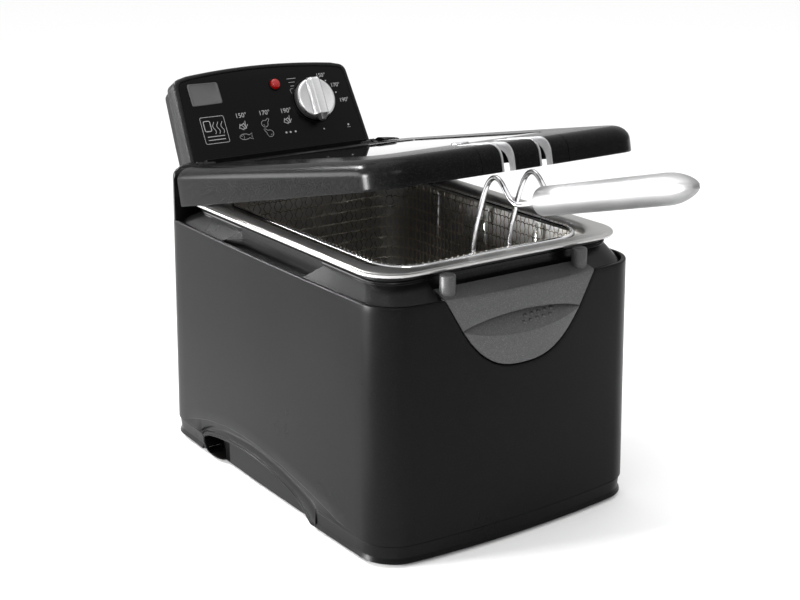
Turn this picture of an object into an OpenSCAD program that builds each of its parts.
// Household deep fryer: plastic casing with a pressed steel bowl, a hinged lid,
// a leaning control tower at the rear, a sprung lid release at the front and a
// wire basket with a tubular handle. Front faces -Y, left is -X, +Z is up.
// Origin: on the table, in the middle of the whole object's width and depth.
// Sizes along Y are written from the middle of the casing, and home() moves each
// sub-part to the origin.

/* [Casing] */
// Width of the casing at its top edge
body_w = 250; // [246:1:254]
// Depth of the casing at its top edge, without the bow of the front
body_d = 346; // [342:1:350]
// Height of the casing's top edge above the table
body_top = 206; // [204:1:208]
// How far the middle of the front bows out
front_bow = 9; // [6:0.5:10]
// How far the middle of each side bows out
side_bow = 3.5; // [2:0.5:4]
// Wall thickness of the plastic mouldings
wall = 3; // [2.5:0.25:3.25]

/* [Bowl] */
// Height of the bowl's rim above the table
rim_top = 230; // [229:0.5:230.5]
// Inside depth of the bowl below its rim
bowl_depth = 150; // [140:1:152]
// Thickness of the pressed steel
steel_t = 1.2; // [1:0.1:1.4]

/* [Control tower] */
// Lean of the control panel back from upright, in degrees
tower_lean = 28.5; // [26:0.5:29]
// Half of the panel's width at its foot
tower_half_w = 97.9; // [95:0.5:98.5]
// Height of the panel's shoulders along its face
tower_v = 102.6; // [98:1:105]
// Radius of the thermostat knob
knob_r = 20.5; // [18:0.5:21]

/* [Lid] */
// How far the lid stands open at rest, in degrees
lid_open = 13.4; // [12:0.2:14]
// Thickness of the lid at its rear
lid_rear_h = 34; // [33:0.5:35]
// Thickness of the lid at its front
lid_front_h = 21; // [20.5:0.5:22]

/* [Basket] */
// Length of the tubular handle
handle_len = 155; // [140:1:160]
// Diameter of the tubular handle
handle_d = 22; // [20:0.5:23]
// Diameter of the handle's wires
wire_d = 4; // [3.6:0.1:4.2]

/* [Hidden] */
$fn = 48;

// Colours
black = [0.11, 0.11, 0.115];
dark_grey = [0.3, 0.3, 0.31];
mid_grey = [0.42, 0.42, 0.43];
steel = [0.75, 0.75, 0.76];
chrome = [0.85, 0.85, 0.87];
rubber = [0.06, 0.06, 0.06];
copper = [0.7, 0.42, 0.25];

// Casing
hw = body_w / 2;
hd = body_d / 2;
corner_r = 26;
draft = 2.7;
seam_z = 18;
base_z = 3;
fit = 0.3;

// Bowl and its flange
rim_hw = 120.9;
rim_front = -165.4;
rim_rear = 143;
rim_r = 31;
rim_edge_h = 6;
bowl_hw = 103;
bowl_front = -152;
bowl_rear = 130;
bowl_r = 34;
bowl_floor = rim_top - bowl_depth;
collar_hw = 114;
collar_front = -157.6;
collar_rear = 138;
shoulder_top = 216.5;

// Rear block that carries the tower and the lid's hinge
block_front = 150.5;
block_top = 255;
cheek_x = 99;
deck_z = 230;

// Tower
tower_y = 161.4;
tower_z = 230;
tower_arch = 6.2;
tower_corner = 8.5;
bezel_t = 18;
rear_cover_t = 16;
tower_taper = 0.05;
knob_u = 46;
knob_v = 68;
knob_h = 14;
lamp_u = 9.7;
lamp_v = 87.6;

// Lid, drawn shut and then turned about its hinge
hinge_y = 163;
hinge_z = 247;
lid_z = 215;
lid_hw = 125;
lid_front = -184.1;
lid_rear = 148.8;
lid_rear_top = 139;
lid_rear_r = 5;
lid_wall = 3;
lid_slope = (lid_rear_h - lid_front_h) / (lid_rear - lid_front);
slot_x = 17.75;
slot_w = 9;
slot_back = -134;
slot_t = 1.4;
cover_t = 1.5;
cover_w = 41;
cover_back = -118;
liner_z = 231.5;
window_w = 84;
window_y0 = -112;
window_y1 = 88;
grille_w = 86;
grille_y0 = 99;
grille_y1 = 155;
badge_y = -104;
arm_x = 93;
arm_r = 5;
pin_r = 2.5;

// Side grips: shallow wall, and where the deeper pocket begins
grip_wall_x = 123.5;
grip_pocket_y = 73.5;

// Lid release
lever_half_w = 72;
lever_low = 145.5;
lever_travel = 4;
post_x = 64;
post_r = 6.2;
post_y = -170;
guide_x = 30;
guide_z = 186;
guide_r = 3;

// Basket
ring_hw = 96;
ring_front = -146.5;
ring_rear = 122;
ring_r = 30;
ring_z = 224;
basket_floor = 136;
mesh_t = 0.8;
handle_rise = 14.8;
handle_start = [0, -200, 275];

// The foremost and rearmost points, and the shift that puts the origin midway
foremost = handle_start.y - (handle_len - handle_d / 2) * cos(handle_rise) - handle_d / 2;
rearmost = tower_y + (tower_v + tower_arch - 3) * sin(tower_lean) + (bezel_t + 0.2 + rear_cover_t) * cos(tower_lean);
home_y = -(foremost + rearmost) / 2;
module home() {
    translate([0, home_y, 0]) children();
}

// Points along an arc
function arc(cx, cy, r, a0, a1, n) =
    [for (i = [0:n]) let (a = a0 + (a1 - a0) * i / n) [cx + r * cos(a), cy + r * sin(a)]];

// Points along a straight run, without its end
function run(p, q, n) = [for (i = [1:n]) p + (q - p) * i / (n + 1)];

// Rounded rectangle between two y values, counter-clockwise from the right rear;
// rb is the radius of its rear corners
function rounded(w, y0, y1, r, rb = 0, n = 6) = let (q = rb > 0 ? rb : r) concat(
    arc(w - q, y1 - q, q, 0, 90, n), run([w - q, y1], [q - w, y1], 3),
    arc(q - w, y1 - q, q, 90, 180, n), run([-w, y1 - q], [-w, y0 + r], 5),
    arc(r - w, y0 + r, r, 180, 270, n), run([r - w, y0], [w - r, y0], 7),
    arc(w - r, y0 + r, r, 270, 360, n), run([w, y0 + r], [w, y1 - q], 5));

// The same outline with its sides and its front bowed out
function bowed(w, y0, y1, r, rb = 0) =
    let (m = (y0 + y1) / 2, h = (y1 - y0) / 2, sb = side_bow, fb = front_bow)
    [for (p = rounded(w, y0, y1, r, rb))
        let (s = (p.y - m) / h, u = p.x / w)
        [p.x + sign(u) * sb * (1 - s * s) * u * u,
         p.y - (s < 0 ? fb * (1 - u * u) * s * s : 0)]];

// A thin slab of the bowed outline
module slab(z, w, y0, y1, r, t = 0.01, rb = 0) {
    translate([0, 0, z]) linear_extrude(t) polygon(bowed(w, y0, y1, r, rb));
}

// A slab of the plain rounded outline
module plate(z, t, w, y0, y1, r) {
    translate([0, 0, z]) linear_extrude(t) polygon(rounded(w, y0, y1, r));
}

// A ring between two plain outlines
module ring_plate(z, t, w, y0, y1, r, inset) {
    difference() {
        plate(z, t, w, y0, y1, r);
        plate(z - 1, t + 2, w - inset, y0 + inset, y1 - inset, r - inset);
    }
}

// The casing's drafted form, made smaller all round by g
module casing_form(g, z0, z1) {
    spread = draft * (body_top - z0) / (body_top - seam_z);
    top = draft * (body_top - z1) / (body_top - seam_z);
    hull() {
        slab(z0, hw + spread - g, -hd - spread + g, hd + spread - g, corner_r - g / 2);
        slab(z1 - 0.01, hw + top - g, -hd - top + g, hd + top - g, corner_r - g / 2);
    }
}

// A straight round rod between two points
module rod(a, b, r, fn = 24) {
    v = b - a;
    translate(a) rotate([0, acos(v.z / norm(v)), atan2(v.y, v.x)]) cylinder(r = r, h = norm(v), $fn = fn);
}

// A bent wire: rods with a ball at each bend
module wire(pts, r, fn = 24) {
    for (i = [1:len(pts) - 1]) rod(pts[i - 1], pts[i], r, fn);
    for (i = [1:len(pts) - 2]) translate(pts[i]) sphere(r = r, $fn = fn);
}

// A bent wire drawn as one skin; side is a direction that the wire never runs along
module bent_wire(pts, r, side, fn = 12) {
    n = len(pts);
    rings = [for (i = [0:n - 1]) let (
        t = (pts[min(i + 1, n - 1)] - pts[max(i - 1, 0)]),
        u = cross(t, side) / norm(cross(t, side)),
        v = cross(u, t) / norm(cross(u, t)))
        for (k = [0:fn - 1]) pts[i] + r * cos(k * 360 / fn) * u + r * sin(k * 360 / fn) * v];
    polyhedron(rings, concat(
        [[for (k = [0:fn - 1]) k]],
        [for (i = [0:n - 2], k = [0:fn - 1]) let (k1 = (k + 1) % fn)
            [i * fn + k, (i + 1) * fn + k, (i + 1) * fn + k1, i * fn + k1]],
        [[for (k = [fn - 1:-1:0]) (n - 1) * fn + k]]), convexity = 8);
}

// A closed rounded rectangular loop of round wire, lying flat
module wire_loop(z, w, y0, y1, r, wr) {
    for (s = [-1, 1]) {
        rod([s * w, y0 + r, z], [s * w, y1 - r, z], wr);
        rod([r - w, s > 0 ? y1 : y0, z], [w - r, s > 0 ? y1 : y0, z], wr);
    }
    for (q = [[w - r, y1 - r, 0], [r - w, y1 - r, 90], [r - w, y0 + r, 180], [w - r, y0 + r, 270]])
        translate([q.x, q.y, z]) rotate([0, 0, q.z])
            rotate_extrude(angle = 90, $fn = 64) translate([r, 0]) circle(r = wr, $fn = 24);
}

// Coil spring envelope: a short tube
module spring_tube(r_out, r_in, h) {
    difference() {
        cylinder(r = r_out, h = h);
        translate([0, 0, -1]) cylinder(r = r_in, h = h + 2);
    }
}

// ---------- Casing ----------

// Outline of the release lever seen from the front, grown by g
function lever_outline(g) = let (w = 57, h = 35) concat(
    [[lever_half_w + g, 215]], [[lever_half_w + g, body_top + 0.5]],
    [for (i = [10:-1:-10]) let (x = i * w / 10)
        [x * (w + g) / w, lever_low - g + h * pow(abs(x) / w, 2.6)]],
    [[-lever_half_w - g, body_top + 0.5]], [[-lever_half_w - g, 215]]);

// Section of the release lever as y and z points: front plate and sloping shelf
function lever_profile() = [[-195, 100], [-169, 100], [-169, body_top - 5], [-163, body_top - 5],
    [-163, body_top + 5.4], [-181, body_top], [-195, body_top]];

// Outer arch of a side grip, grown by g, as y and z points
function arch_outline(g) = concat([[108 + g, 4], [-84 - g, 4]],
    [for (i = [0:16]) let (a = 180 - 180 * i / 16)
        [12 + (96 + g) * cos(a), seam_z + (14.5 + g) * sin(a)]]);

// Finger opening of a side grip
function grip_opening() = concat([[104, 7], [-58, 7]],
    [for (i = [0:12]) let (a = 180 - 180 * i / 12)
        [23 + 81 * cos(a), 12 + 9.5 * pow(sin(a), 0.5)]]);

// Stretch a y and z outline along x, from x0 to x1
module along_x(x0, x1, pts) {
    translate([x0, 0, 0]) rotate([90, 0, 90]) linear_extrude(x1 - x0) polygon(pts);
}

// Stretch an x and z outline along y, from y0 to y1
module along_y(y0, y1, pts) {
    translate([0, y1, 0]) rotate([90, 0, 0]) linear_extrude(y1 - y0) polygon(pts);
}

module at_corners() {
    for (x = [-104, 104], y = [-150, 150]) translate([x, y, 0]) children();
}

module housing_shell() {
    color(black) home() difference() {
        union() {
            difference() {
                casing_form(0, seam_z, body_top);
                casing_form(wall, seam_z - 1, body_top + 1);
            }
            at_corners() translate([0, 0, seam_z]) cylinder(r = 5, h = 24);
            for (s = [-1, 1], y = [-150, 150])
                translate([s > 0 ? 104 : -126, y - 1.5, seam_z]) cube([22, 3, 24]);
        }
        along_y(-200, -150, lever_outline(0.8));
        for (s = [-1, 1]) along_x(s > 0 ? 100 : -140, s > 0 ? 140 : -100, arch_outline(fit));
        translate([80, 160, 60]) rotate([-90, 0, 0]) cylinder(r = 8, h = 30);
        at_corners() translate([0, 0, seam_z - 1]) cylinder(r = 2.05, h = 20);
    }
}

// Slot that leads the capillary and the wires up into the tower
module cable_slot() {
    translate([-5, 163, 220]) cube([10, 8.5, 14.5]);
}

// Finger scoop in the sloping shoulder beside the bowl; its ends run slantwise
module finger_scoop(s) {
    translate([0, 0, 203]) linear_extrude(20)
        polygon([[s * (collar_hw + 0.02), 46], [s * 130, 88], [s * 130, -44], [s * (collar_hw + 0.02), -78]]);
}

// Continues the casing above its top edge, with a rounded upper edge
module block_form() {
    hull() for (row = [[body_top, 0], [block_top - 9, 0], [block_top - 2.6, 2.6], [block_top - 0.01, 9]]) {
        lean = draft * (body_top - row[0]) / (body_top - seam_z) - row[1];
        slab(row[0], hw + lean, -hd - lean, hd + lean, corner_r - row[1] / 2);
    }
}

// Ledge, shoulder, collar and rear block in one moulding
module top_frame() {
    ledge_g = wall + fit;
    color(black) home() difference() {
        union() {
            casing_form(ledge_g, 196, 203);
            intersection() {
                casing_form(ledge_g, 203, body_top);
                translate([-200, block_front, 200]) cube([400, 60, 10]);
            }
            intersection() {
                block_form();
                translate([-200, block_front, 200]) cube([400, 60, 60]);
            }
            plate(202, rim_top - rim_edge_h - 202, collar_hw, collar_front, collar_rear, rim_r - 6);
            difference() {
                hull() {
                    casing_form(ledge_g + 0.6, 202, 203);
                    plate(shoulder_top - 0.5, 0.5, collar_hw, collar_front, collar_rear, rim_r - 6);
                }
                for (s = [-1, 1]) finger_scoop(s);
                translate([-lever_half_w - 1.2, -200, 203])
                    cube([2 * lever_half_w + 2.4, 200.02 + collar_front, 20]);
            }
        }
        plate(190, 60, collar_hw - 4, collar_front + 4, collar_rear - 4, rim_r - 9);
        translate([-cheek_x, block_front - 1, deck_z]) cube([2 * cheek_x, 60, 60]);
        translate([-cheek_x + 3, block_front + 3, 190]) cube([2 * cheek_x - 6, 16, 37]);
        for (s = [-1, 1]) translate([s * 110 - 8, block_front + 3, 190]) cube([16, 13, 62]);
        cable_slot();
        along_y(-200, -158.5, lever_outline(1.2));
        for (s = [-1, 1]) translate([s * 96, hinge_y, hinge_z]) rotate([0, s * 90, 0])
            cylinder(r = pin_r + 0.05, h = 18);
    }
}

module base_pan() {
    inset = 1.2;
    color(black) home() difference() {
        union() {
            difference() {
                hull() {
                    slab(base_z, hw - 2, -hd + 2, hd - 2, corner_r);
                    slab(base_z + 4, hw + 1, -hd - 1, hd + 1, corner_r);
                    slab(seam_z - 0.02, hw + draft - inset, -hd - draft + inset, hd + draft - inset, corner_r);
                }
                hull() {
                    slab(base_z + 3, hw - 11, -hd + 11, hd - 11, corner_r);
                    slab(seam_z + 1, hw - 5, -hd + 5, hd - 5, corner_r);
                }
            }
            at_corners() translate([0, 0, base_z]) cylinder(r = 5.5, h = seam_z - base_z);
        }
        for (s = [-1, 1]) along_x(s > 0 ? 104 : -140, s > 0 ? 140 : -104, arch_outline(fit));
        at_feet() cylinder(r = 9, h = 4.5);
        at_corners() cylinder(r = 2.1, h = 40);
        at_corners() cylinder(r = 4, h = 6);
        for (i = [-4:4]) translate([i * 12 - 2, -50, 0]) cube([4, 100, 12]);
    }
}

module base_screws() {
    color(steel) home() at_corners() {
        translate([0, 0, 3.6]) cylinder(r = 3.7, h = 2.4);
        translate([0, 0, 6]) cylinder(r = 2, h = 22);
    }
}

module at_feet() {
    for (x = [-90, 90], y = [-126, 126]) translate([x, y, 0]) children();
}

module rubber_feet() {
    color(rubber) home() at_feet() cylinder(r = 8.9, h = 4.4);
}

// Arched lip over a shallow wall, with a deeper finger pocket at its rear end
module side_grip(s) {
    color(black) home() mirror([s > 0 ? 1 : 0, 0, 0]) difference() {
        intersection() {
            along_x(-130, -105, arch_outline(0));
            union() {
                casing_form(-1.2, base_z, body_top);
                translate([-126, -100, 3]) cube([30, 220, 30]);
            }
        }
        along_x(-140, -grip_wall_x, grip_opening());
        intersection() {
            along_x(-140, -110, grip_opening());
            translate([-140, grip_pocket_y, 0]) cube([40, 40, 40]);
        }
    }
}
module side_grip_left() side_grip(-1);
module side_grip_right() side_grip(1);

// ---------- Bowl and heating ----------

module bowl() {
    t = steel_t;
    color(steel) home() difference() {
        union() {
            plate(rim_top - rim_edge_h, rim_edge_h, rim_hw, rim_front, rim_rear, rim_r);
            plate(bowl_floor - t, bowl_depth - 1, bowl_hw + t, bowl_front - t, bowl_rear + t, bowl_r + t);
        }
        plate(bowl_floor, bowl_depth + 1, bowl_hw, bowl_front, bowl_rear, bowl_r);
        difference() {
            plate(rim_top - rim_edge_h - 1, rim_edge_h + 1 - t, rim_hw - t, rim_front + t, rim_rear - t, rim_r - t);
            plate(rim_top - 20, 40, bowl_hw + t, bowl_front - t, bowl_rear + t, bowl_r + t);
        }
    }
}

plate_top = bowl_floor - steel_t;

module heat_plate() {
    color(steel) home() plate(plate_top - 2.8, 2.8, 82, -125, 105, 28);
}

module heating_element() {
    z = plate_top - 2.8 - 4;
    color(dark_grey) home() {
        wire_loop(z, 70, -110, 90, 26, 3.95);
        for (x = [-20, 20]) rod([x, 90, z], [x, 90, z - 14], 3.5);
    }
}

module heat_shield() {
    color(steel) home() difference() {
        plate(46, 14, 88, -132, 112, 30);
        plate(46.8, 20, 87.2, -131.2, 111.2, 29.2);
        for (x = [-20, 20]) translate([x, 90, 40]) cylinder(r = 6, h = 10);
        for (x = [-60, 60], y = [-100, 80]) translate([x, y, 40]) cylinder(r = 2, h = 10);
    }
}

module shield_posts() {
    color(steel) home() for (x = [-60, 60], y = [-100, 80]) translate([x, y, base_z + 3]) {
        cylinder(r = 4, h = 46 - base_z - 3);
        cylinder(r = 1.9, h = 46 - base_z);
    }
}

module thermal_fuse() {
    color(chrome) home() translate([45, 0, plate_top - 2.8 - 6]) {
        translate([-9, -5, 0]) cube([18, 10, 6]);
        for (s = [-1, 1]) translate([s * 6, 0, -5]) cylinder(r = 1, h = 5);
    }
}

module thermostat_bulb() {
    z = plate_top - 2.8 - 3.2;
    color(copper) home() rod([-10, -40, z], [-10, 50, z], 3.1);
}

module capillary_tube() {
    z = plate_top - 2.8 - 3.2;
    color(copper) home() bent_wire([[-10, 50, z], [-10, 60, z - 1.5], [-8, 76, z - 8], [-3, 102, z - 8],
        [0, 118, z - 3], [0, 144, 78], [0, 157, 110],
        [0, 160, 200], [0, 166, 226], [0, 170.3, 236], [20, 185, 252], [knob_u, 199, 268]],
        1.1, [1, 0.3, 0.2], 8);
}

module terminal_block() {
    color([0.85, 0.84, 0.8]) home() difference() {
        translate([56, 125, base_z + 3.2]) cube([34, 20, 20]);
        for (x = [62, 73, 84]) translate([x, 135, 10]) cylinder(r = 2.5, h = 30);
    }
}

module cord_gland() {
    color(rubber) home() translate([80, 0, 60]) rotate([-90, 0, 0]) difference() {
        union() {
            translate([0, 0, 164]) cylinder(r = 7.9, h = 20);
            translate([0, 0, 175.5]) cylinder(r = 11, h = 3);
            translate([0, 0, 167]) cylinder(r = 10, h = 4.5);
        }
        translate([0, 0, 160]) cylinder(r = 3.6, h = 40);
    }
}

// ---------- Control tower ----------

// Frame of the tilted panel: x across, -y out of the face, z up along the face
module in_tower() {
    translate([0, tower_y, tower_z]) rotate([-tower_lean, 0, 0]) children();
}

// Outline of the panel made smaller by g, from below its foot to its arched top
function tower_outline(g) = let (
    low = -30, r = tower_corner - min(g, 8) / 2, w0 = tower_half_w - tower_taper * low - g,
    w1 = tower_half_w - tower_taper * tower_v - g, top = tower_v - g) concat(
    [[w0, low]], arc(w1 - r, top - r, r, 0, 75, 5),
    [for (i = [7:-1:-7]) let (x = i * (w1 - r - 2) / 8) [x, top + tower_arch * (1 - pow(x / w1, 2))]],
    arc(r - w1, top - r, r, 105, 180, 5), [[-w0, low]]);

// Slab of the tower between two depths behind the face
module tower_slab(g, d0, d1) {
    translate([0, d1, 0]) rotate([90, 0, 0]) linear_extrude(d1 - d0) polygon(tower_outline(g));
}

// Everything below the deck that the tower stands on
module below_deck(z = deck_z) {
    translate([-300, 0, z - 200]) cube([600, 600, 200]);
}

// Keeps what is above a level height, inside the tilted frame
module in_world_above(z) {
    difference() {
        children();
        rotate([tower_lean, 0, 0]) translate([0, -tower_y, -tower_z]) below_deck(z);
    }
}

module tower_bezel() {
    color(dark_grey) home() difference() {
        in_tower() difference() {
            tower_slab(0, 0, bezel_t);
            tower_slab(4, -1, 3.2);
            in_world_above(deck_z + 2.5) tower_slab(6, 3, bezel_t + 1);
        }
        below_deck();
        cable_slot();
    }
}

module control_fascia() {
    color(black) home() difference() {
        in_tower() difference() {
            tower_slab(4.2, 0.6, 3.2);
            translate([knob_u, -5, knob_v]) rotate([-90, 0, 0]) cylinder(r = 4, h = 20);
            translate([lamp_u, -5, lamp_v]) rotate([-90, 0, 0]) cylinder(r = 5, h = 20);
        }
        below_deck(deck_z + 0.3);
    }
}

module tower_rear_cover() {
    d0 = bezel_t + 0.2;
    color(black) home() difference() {
        in_tower() difference() {
            tower_slab(3, d0, d0 + rear_cover_t);
            in_world_above(deck_z + 3) tower_slab(6, d0 - 1, d0 + rear_cover_t - 3);
            for (x = [-70, 70]) translate([x, d0 + 5, 60]) rotate([-90, 0, 0]) cylinder(r = 1.8, h = 30);
            for (i = [-5:5]) translate([i * 10 - 1.5, d0 + 5, 70]) cube([3, 20, 18]);
        }
        below_deck();
    }
}

module tower_screws() {
    color(steel) home() in_tower() for (x = [-70, 70])
        translate([x, bezel_t + rear_cover_t + 0.2, 60]) rotate([-90, 0, 0]) {
            cylinder(r = 3.4, h = 2);
            translate([0, 0, -8]) cylinder(r = 1.7, h = 8.1);
        }
}

module thermostat_bracket() {
    color(steel) home() in_tower() difference() {
        translate([knob_u - 30, 8, knob_v - 14]) cube([60, 1.5, 28]);
        translate([knob_u, 0, knob_v]) rotate([-90, 0, 0]) cylinder(r = 4, h = 20);
    }
}

module thermostat() {
    color(chrome) home() in_tower() translate([knob_u, 9.5, knob_v]) rotate([-90, 0, 0]) {
        cylinder(r = 15, h = 16);
        translate([-17, -4, 10]) cube([34, 8, 4]);
    }
}

module pilot_lamp_body() {
    color([0.85, 0.84, 0.8]) home() in_tower() translate([lamp_u, 3.3, lamp_v]) rotate([-90, 0, 0])
        cylinder(r = 6.5, h = 11);
}

module pilot_lens() {
    color("red") home() in_tower() translate([lamp_u, 3.2, lamp_v]) rotate([90, 0, 0]) {
        cylinder(r = 4.9, h = 2.8);
        translate([0, 0, 2.8]) cylinder(r1 = 4.9, r2 = 3.6, h = 1.2);
    }
}

module knob_shaft() {
    color(chrome) home() in_tower() translate([knob_u, 9.3, knob_v]) rotate([90, 0, 0])
        cylinder(r = 3, h = 16);
}

// Round knob with a raised finger bar and a pointer that rests downwards
module control_knob() {
    color(chrome) home() in_tower() translate([knob_u, 0, knob_v]) rotate([90, 0, 0]) difference() {
        union() {
            cylinder(r = knob_r, h = 7);
            translate([0, 0, 7]) cylinder(r1 = knob_r, r2 = knob_r - 1.5, h = 1.5);
            intersection() {
                translate([-5, -knob_r - 3, 0]) cube([10, 2 * knob_r + 3, knob_h]);
                union() {
                    cylinder(r = knob_r, h = knob_h);
                    translate([-5, -knob_r - 3, 0]) cube([10, 6, 10]);
                }
            }
        }
        translate([0, 0, -1]) cylinder(r = 3.05, h = 7.7);
        translate([0, 0, -1]) ring_cut(knob_r - 2, 6, 5);
    }
}

// A round groove
module ring_cut(r1, r0, h) {
    difference() {
        cylinder(r = r1, h = h);
        translate([0, 0, -1]) cylinder(r = r0, h = h + 2);
    }
}

// ---------- Lid release ----------

module lever_guide() {
    color(dark_grey) home() difference() {
        translate([-76, -163.5, 141]) cube([152, 5, 54]);
        for (s = [-1, 1]) translate([s * guide_x, -170, guide_z]) rotate([-90, 0, 0])
            cylinder(r = guide_r + 0.05, h = 20);
        for (i = [-1, 0, 1]) translate([i * 44 - 10, -170, 148]) cube([20, 20, 24]);
    }
}

// Shield shaped lever with a shelf, two posts and a finger recess
module release_lever() {
    color(mid_grey) home() {
        difference() {
            intersection() {
                along_y(-195, -163, lever_outline(0));
                casing_form(0, 120, 214);
                along_x(-80, 80, lever_profile());
            }
            along_y(-165 - 30, -176.5, [for (i = [0:23]) let (a = i * 15)
                [57 * cos(a), 180 + (sin(a) > 0 ? 8.3 : 9.5) * sin(a)]]);
            translate([-80, -174, 100]) cube([160, 20, 66]);
        }
        for (s = [-1, 1]) translate([s * post_x, post_y, body_top - 1]) cylinder(r = post_r, h = 18.4);
        for (s = [-1, 1]) translate([s * guide_x, -170, guide_z]) rotate([-90, 0, 0])
            cylinder(r = guide_r, h = 11.8);
    }
}

module lever_spring(s) {
    color(steel) home() translate([s * guide_x, -168.9, guide_z]) rotate([-90, 0, 0])
        spring_tube(4.6, 3.4, 5.3);
}
module lever_spring_left() lever_spring(-1);
module lever_spring_right() lever_spring(1);

// ---------- Lid ----------

// Turns the shut lid up to its rest angle about its hinge
module lid_pose() {
    translate([0, hinge_y, hinge_z]) rotate([-lid_open, 0, 0])
        translate([0, -hinge_y, -hinge_z]) children();
}

// Height of the shut lid's top surface at y
function lid_top(y) = lid_z + lid_front_h + (y - lid_front) * lid_slope;

// Frame of the lid's sloping top: z is 0 on the surface
module on_top() {
    translate([0, 0, lid_top(0)]) rotate([atan(lid_slope), 0, 0]) children();
}

// A slab lying d below the sloping top, drawn in by g
module lid_slab(d, g, rear) {
    on_top() slab(-d, lid_hw - g, lid_front + front_bow + g, rear - min(g, lid_wall), corner_r - g / 2,
        rb = lid_rear_r);
}

// The lid's rounded wedge, drawn in by g all round
module lid_form(g, bottom) {
    hull() {
        slab(bottom, lid_hw - g, lid_front + front_bow + g, lid_rear - g, corner_r - g / 2, rb = lid_rear_r);
        lid_slab(10 + g, g, lid_rear_top + 9.2);
        lid_slab(3 + g, 3 + g, lid_rear_top + 9.2);
        lid_slab(g, 10 + g, lid_rear_top + 3);
    }
}

// A block over part of the lid's top, from d0 to d1 below its surface
module top_block(d0, d1, w, y0, y1, r) {
    on_top() translate([0, 0, -d1]) linear_extrude(d1 - d0) polygon(rounded(w, y0, y1, r));
}

// Room cut for the basket wires, w wide, closed at the back by y1
module slot_block(s, w, y1) {
    translate([s * slot_x - w / 2, -200, lid_z - 5]) cube([w, y1 + 200, 60]);
}

// Room of the front cover, grown by g
module cover_block(g) {
    translate([-cover_w - g, -200, lid_z - 5]) cube([2 * (cover_w + g), cover_back + g + 200, 60]);
}

module at_lid_screws() {
    for (x = [-94, 94], y = [-136, 0, 116]) translate([x, y, 0]) children();
}

module lid_shell() {
    color(black) home() lid_pose() difference() {
        union() {
            difference() {
                lid_form(0, lid_z);
                lid_form(lid_wall, lid_z - 1);
            }
            for (x = [-94, 94], y = [-136, 0, 116]) translate([x, y, liner_z + 1.2])
                cylinder(r = 4, h = lid_top(y) - liner_z - 3);
        }
        top_block(-5, 20, window_w + fit, window_y0 - fit, window_y1 + fit, 16);
        top_block(-5, 3.3, grille_w + fit, grille_y0 - fit, 160, 8);
        top_block(-5, 20, grille_w - 4, grille_y0 + 4, 128, 6);
        for (s = [-1, 1]) slot_block(s, slot_w + 2 * slot_t + 0.2, slot_back + slot_t + 0.1);
        difference() {
            cover_block(fit);
            lid_form(cover_t + 0.1, lid_z - 2);
        }
        for (s = [-1, 1]) translate([s * arm_x - 3, 132, 232]) cube([6, 30, 14.2]);
        translate([-rim_hw - 0.6, 125, lid_z - 1]) cube([2 * rim_hw + 1.2, 40, rim_top + 4.5 - lid_z]);
        at_lid_screws() translate([0, 0, 230]) cylinder(r = 1.55, h = 4.4);
    }
}

module lid_liner() {
    color(steel) home() lid_pose() difference() {
        slab(liner_z, lid_hw - 11.5, lid_front + front_bow + 11.5, 134, 16, 1.2);
        translate([0, 0, liner_z - 1]) linear_extrude(4)
            polygon(rounded(window_w - 6, window_y0 + 6, window_y1 - 6, 12));
        for (s = [-1, 1]) slot_block(s, slot_w + 2 * slot_t + 0.2, slot_back + slot_t + 0.1);
        for (x = [-7:7]) translate([x * 10 - 2.5, 98, liner_z - 1]) cube([5, 26, 4]);
        at_lid_screws() translate([0, 0, liner_z - 1]) cylinder(r = 1.6, h = 4);
    }
}

module lid_gasket() {
    color(rubber) home() lid_pose() difference() {
        ring_plate(rim_top + 0.35, liner_z - rim_top - 0.35, 112.5, -161, 133.5, 22, 4);
        for (s = [-1, 1]) slot_block(s, slot_w + 2 * slot_t + 2, slot_back);
    }
}

module lid_window() {
    color([0.05, 0.05, 0.06]) home() lid_pose() {
        top_block(0.4, 3.2, window_w, window_y0, window_y1, 16);
        top_block(3.05, 4.6, window_w + 4, window_y0 - 4, window_y1 + 4, 18);
    }
}

module lid_front_cover() {
    color(black) home() lid_pose() difference() {
        intersection() {
            lid_form(0, lid_z);
            cover_block(0);
        }
        lid_form(cover_t, lid_z - 1);
        for (s = [-1, 1]) slot_block(s, slot_w + 2 * slot_t + 0.2, slot_back + slot_t + 0.1);
    }
}

// Channel that lines a slot, standing a little proud of the lid
module slot_liner(s) {
    color(mid_grey) home() lid_pose() difference() {
        intersection() {
            lid_form(-0.4, lid_z);
            slot_block(s, slot_w + 2 * slot_t, slot_back + slot_t);
        }
        slot_block(s, slot_w, slot_back);
        lid_form(5, lid_z - 1);
    }
}
module slot_liner_left() slot_liner(-1);
module slot_liner_right() slot_liner(1);

module lid_badge() {
    color(chrome) home() lid_pose() on_top() translate([0, badge_y, 0.02]) cylinder(r = 7, h = 0.7);
}

// Vented cover over the filter, reaching back to the foot of the tower
module filter_grille() {
    color(black) home() lid_pose() difference() {
        top_block(0.2, 3.1, grille_w, grille_y0, grille_y1, 8);
        for (i = [0:4]) top_block(-1, 5, grille_w - 12, grille_y0 + 6 + i * 5, grille_y0 + 8.4 + i * 5, 1);
    }
}

module filter_pad() {
    color([0.5, 0.5, 0.48]) home() lid_pose() plate(liner_z + 1.4, 6, 76, 100, 126, 6);
}

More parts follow.
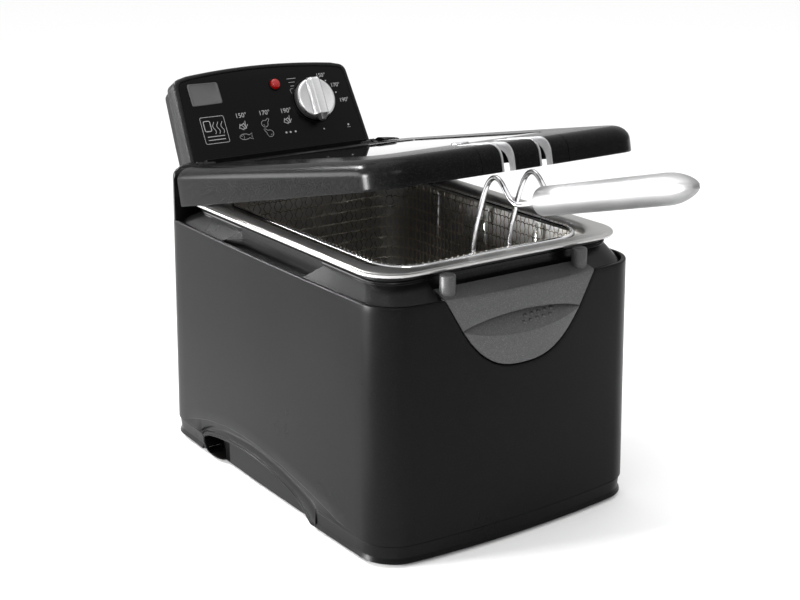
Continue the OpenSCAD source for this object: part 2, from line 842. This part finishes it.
// Steel arms that join the lid to its hinge pins
module lid_hinge_arms() {
    color(steel) home() lid_pose() for (s = [-1, 1]) translate([s * arm_x - 2, 0, 0]) rotate([90, 0, 90])
        difference() {
            union() {
                linear_extrude(4) polygon([[120.3, 236], [146, 236], [164, 243], [162, 251], [146, 244.6], [120.3, 243]]);
                translate([hinge_y, hinge_z, 0]) cylinder(r = arm_r, h = 4);
            }
            translate([hinge_y, hinge_z, -1]) cylinder(r = pin_r + 0.05, h = 6);
        }
}

module lid_screws() {
    color(steel) home() lid_pose() at_lid_screws() {
        translate([0, 0, liner_z - 1.1]) cylinder(r = 2.8, h = 1.1);
        translate([0, 0, liner_z]) cylinder(r = 1.5, h = 2.6);
    }
}

module hinge_pin(s) {
    color(steel) home() translate([s * 79, hinge_y, hinge_z]) rotate([0, s * 90, 0]) {
        cylinder(r = pin_r, h = 32);
        translate([0, 0, -1]) cylinder(r = 4, h = 1);
    }
}
module hinge_pin_left() hinge_pin(-1);
module hinge_pin_right() hinge_pin(1);

module hinge_spring(s) {
    color(steel) home() translate([s * 79.5, hinge_y, hinge_z]) rotate([0, s * 90, 0]) spring_tube(4.4, 2.9, 10.5);
}
module hinge_spring_left() hinge_spring(-1);
module hinge_spring_right() hinge_spring(1);

// ---------- Basket ----------

module basket_mesh() {
    w = ring_hw - 1.2;
    y0 = ring_front + 1.2;
    y1 = ring_rear - 1.2;
    top = ring_z - 2.3;
    color(chrome) home() difference() {
        plate(basket_floor, top - basket_floor, w, y0, y1, ring_r);
        plate(basket_floor + mesh_t, 200, w - mesh_t, y0 + mesh_t, y1 - mesh_t, ring_r - mesh_t);
    }
}

module basket_ring() {
    color(chrome) home() wire_loop(ring_z, ring_hw - 2, ring_front + 2, ring_rear - 2, ring_r, 2.2);
}

module basket_support_wires() {
    w = ring_hw + 0.45;
    z = basket_floor - 1.6;
    color(chrome) home() for (y = [-80, -10, 60]) wire([[-w, y, ring_z - 6], [-w, y, z], [w, y, z], [w, y, ring_z - 6]], 1.5);
}

// Wire yoke that ties the two handle wires together at the basket's front
module handle_bracket() {
    y = -136.1;
    color(chrome) home() wire([[-24, y, 212], [-24, y, 222], [24, y, 222], [24, y, 212]], 1.6);
}

// Side view of a handle wire, as y and z points from the basket up and forward
wire_side = [[-139.8, 212], [-139.8, 227], [-142.5, 243], [-147, 258], [-152, 272], [-156.5, 281.5],
    [-161.5, 287], [-167, 288.6], [-172.5, 286.2], [-178, 281], [-183.5, 275.8], [-189, 273.4]];

module handle_wires() {
    rise = sin(handle_rise);
    color(chrome) home() for (s = [-1, 1]) bent_wire(concat(
        [for (p = wire_side) [s * slot_x, p.x, p.y]],
        [[s * 16.4, -192.2, 273.5], [s * 12, -195.6, 274], [s * 7.6, -198.3, 274.5],
         [s * 5.7, -201.8, 275.5], [s * 5.5, -206, 276.6],
         [s * 5.5, -206 - 10 * cos(handle_rise), 276.6 + 10 * rise]]), wire_d / 2, [1, 0.1, 0.3]);
}

// Frame of the handle: z runs outward along the tube from its inner end
module in_handle() {
    translate(handle_start) rotate([90 - handle_rise, 0, 0]) children();
}

module handle_tube() {
    r = handle_d / 2;
    color(steel) home() in_handle() difference() {
        union() {
            cylinder(r = r, h = handle_len - r);
            translate([0, 0, handle_len - r]) sphere(r = r);
        }
        translate([0, 0, -1]) cylinder(r = r - steel_t, h = handle_len - r + 1);
        translate([0, 0, handle_len - r]) sphere(r = r - steel_t);
    }
}

// Plug in the tube's inner end, bored for the two wires
module handle_collar() {
    color(dark_grey) home() difference() {
        in_handle() translate([0, 0, 5]) cylinder(r = handle_d / 2 - steel_t, h = 10);
        for (s = [-1, 1]) rod([s * 5.5, -206, 276.6] + 8 * [0, cos(handle_rise), -sin(handle_rise)],
            [s * 5.5, -206, 276.6] - 12 * [0, cos(handle_rise), -sin(handle_rise)], wire_d / 2 + 0.05);
    }
}

housing_shell();
top_frame();
base_pan();
base_screws();
rubber_feet();
side_grip_left();
side_grip_right();
bowl();
heat_plate();
heating_element();
heat_shield();
shield_posts();
thermal_fuse();
thermostat_bulb();
capillary_tube();
terminal_block();
cord_gland();
tower_bezel();
control_fascia();
tower_rear_cover();
tower_screws();
thermostat_bracket();
thermostat();
pilot_lamp_body();
pilot_lens();
knob_shaft();
control_knob();
hinge_pin_left();
hinge_pin_right();
hinge_spring_left();
hinge_spring_right();
lever_guide();
release_lever();
lever_spring_left();
lever_spring_right();
lid_shell();
lid_liner();
lid_gasket();
lid_window();
lid_front_cover();
slot_liner_left();
slot_liner_right();
lid_badge();
filter_grille();
filter_pad();
lid_hinge_arms();
lid_screws();
basket_mesh();
basket_ring();
basket_support_wires();
handle_bracket();
handle_wires();
handle_tube();
handle_collar();
